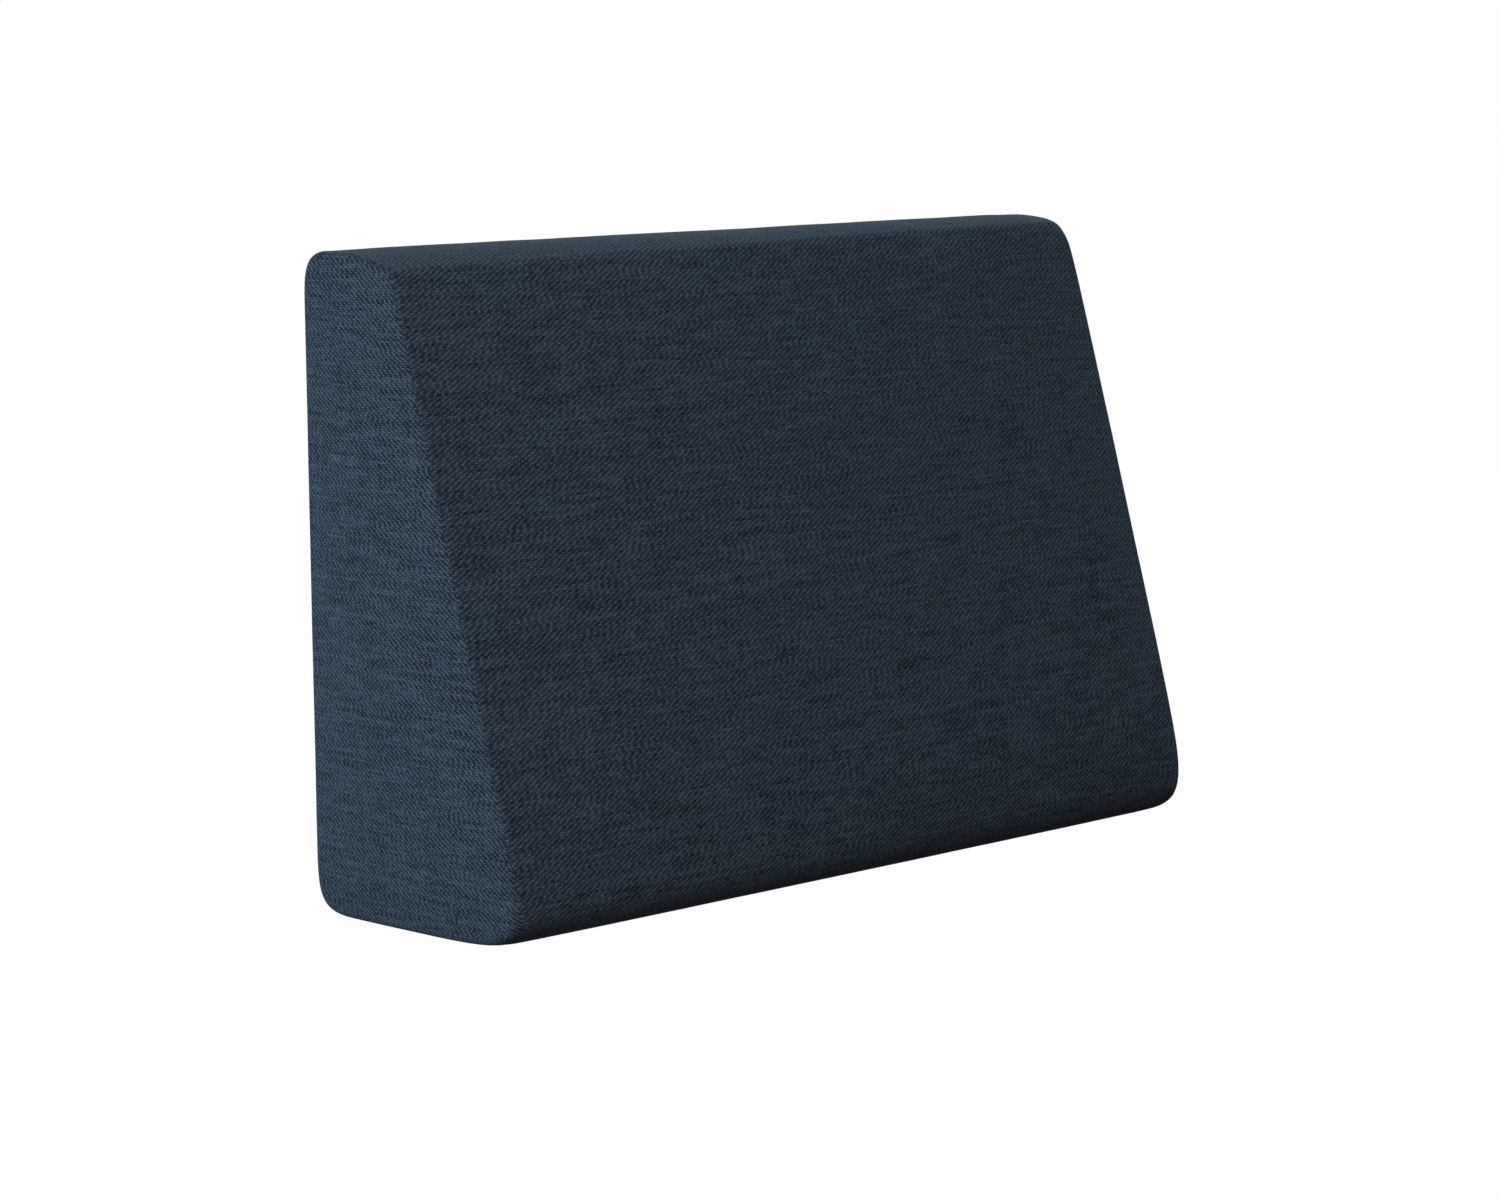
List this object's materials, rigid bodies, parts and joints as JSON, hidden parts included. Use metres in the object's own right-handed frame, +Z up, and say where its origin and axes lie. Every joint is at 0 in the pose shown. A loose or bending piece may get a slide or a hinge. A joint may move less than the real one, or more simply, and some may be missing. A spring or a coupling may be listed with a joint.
{
  "type": "pallet cushion",
  "caption": "Wedge-shaped back cushion in a dark blue woven fabric, with an upright back, a narrow top, a sloping front and a flat base.",
  "frame": {"origin": "centre of the footprint of the whole cushion, at the level of its flat base", "axes": "+Z up from the base to the narrow top, +X along the width, +Y towards the upright back, so the sloping front faces -Y"},
  "size_m": [0.628, 0.1846, 0.4017],
  "materials": {
    "fabric_cover": "dark navy blue linen-look weave, matt, with slubs in both directions"
  },
  "bodies": {
    "root": {"cushion": "fabric_cover"}
  },
  "joints": []
}
